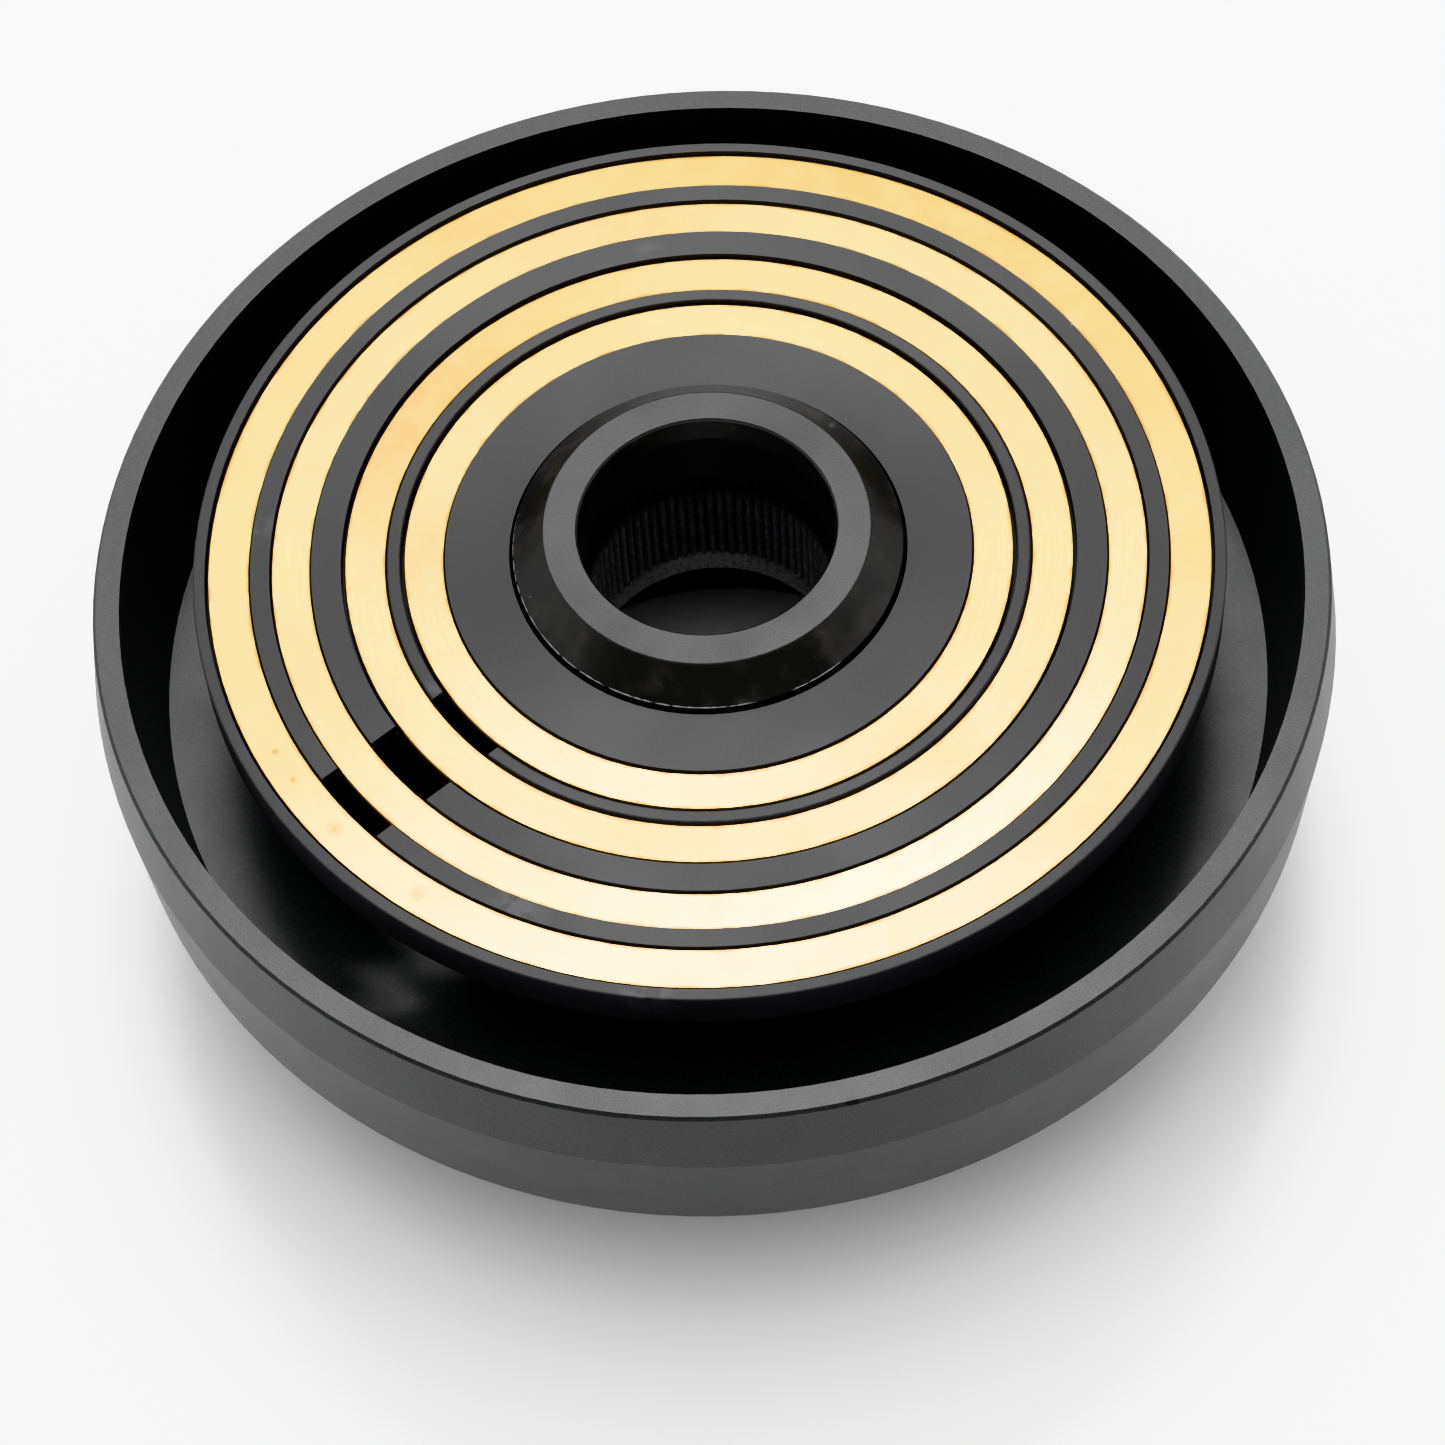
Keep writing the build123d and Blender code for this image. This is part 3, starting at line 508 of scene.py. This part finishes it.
CAMERA_LENS = 115.1                      # millimetres, as the sensor
CAMERA_SENSOR = 36.0
CAMERA_CLIP = (0.01, 20.0)


def floor():
    bpy.ops.mesh.primitive_circle_add(vertices=96, radius=TABLE_RADIUS, fill_type="NGON")
    table = bpy.context.object
    table.name = "table"
    n = Nodes("pale_table")
    color = n.mix(n.noise(3.0), *TABLE_COLORS)
    table.data.materials.append(n.finish(color, TABLE_ROUGHNESS, n.bump(n.noise(900.0), 0.00001), ior=1.3))


def softbox(name, place, width, depth, radiance):
    """A flat light, facing straight down, that the object's flat faces mirror."""
    light = bpy.data.lights.new(name, "AREA")
    light.shape = "RECTANGLE"
    light.size = width
    light.size_y = depth
    light.energy = radiance * pi * width * depth
    lamp = bpy.data.objects.new(name, light)
    lamp.location = (0.0, *place)
    bpy.context.scene.collection.objects.link(lamp)


def surroundings():
    """A dim room with a pale panel at each side."""
    world = bpy.data.worlds.new("room")
    world.use_nodes = True
    bpy.context.scene.world = world
    tree = world.node_tree
    direction = tree.nodes.new("ShaderNodeTexCoord").outputs["Generated"]
    split = tree.nodes.new("ShaderNodeSeparateXYZ")
    tree.links.new(direction, split.inputs[0])
    sideways = tree.nodes.new("ShaderNodeMath")
    sideways.operation = "ABSOLUTE"
    tree.links.new(split.outputs[0], sideways.inputs[0])
    strength = tree.nodes.new("ShaderNodeMapRange")
    strength.interpolation_type = "SMOOTHSTEP"
    tree.links.new(sideways.outputs[0], strength.inputs["Value"])
    strength.inputs["From Min"].default_value = PANEL_EDGE[0]
    strength.inputs["From Max"].default_value = PANEL_EDGE[1]
    strength.inputs["To Min"].default_value = ROOM_FRONT
    strength.inputs["To Max"].default_value = ROOM_SIDE
    background = tree.nodes["Background"]
    background.inputs["Color"].default_value = grey(1.0)
    tree.links.new(strength.outputs["Result"], background.inputs["Strength"])


def camera():
    data = bpy.data.cameras.new("camera")
    data.lens = CAMERA_LENS
    data.sensor_width = CAMERA_SENSOR
    data.clip_start, data.clip_end = CAMERA_CLIP
    eye = Vector((0.0, -cos(CAMERA_ELEVATION), sin(CAMERA_ELEVATION))) * CAMERA_DISTANCE
    eye.z += RIM_TOP
    aim = Vector((*CAMERA_AIM, RIM_TOP))
    forward = (aim - eye).normalized()
    right = forward.cross(Vector((0, 0, 1))).normalized()
    up = right.cross(forward)
    rolled_right = cos(CAMERA_ROLL) * right + sin(CAMERA_ROLL) * up
    rolled_up = -sin(CAMERA_ROLL) * right + cos(CAMERA_ROLL) * up
    turn = Matrix((rolled_right, rolled_up, -forward)).transposed()
    viewer = bpy.data.objects.new("camera", data)
    viewer.matrix_world = Matrix.Translation(eye) @ turn.to_4x4()
    bpy.context.scene.collection.objects.link(viewer)
    bpy.context.scene.camera = viewer


camera()
floor()
for box in SOFTBOXES:
    softbox(*box)
surroundings()
dress()
bpy.context.scene.view_settings.view_transform = "Khronos PBR Neutral"
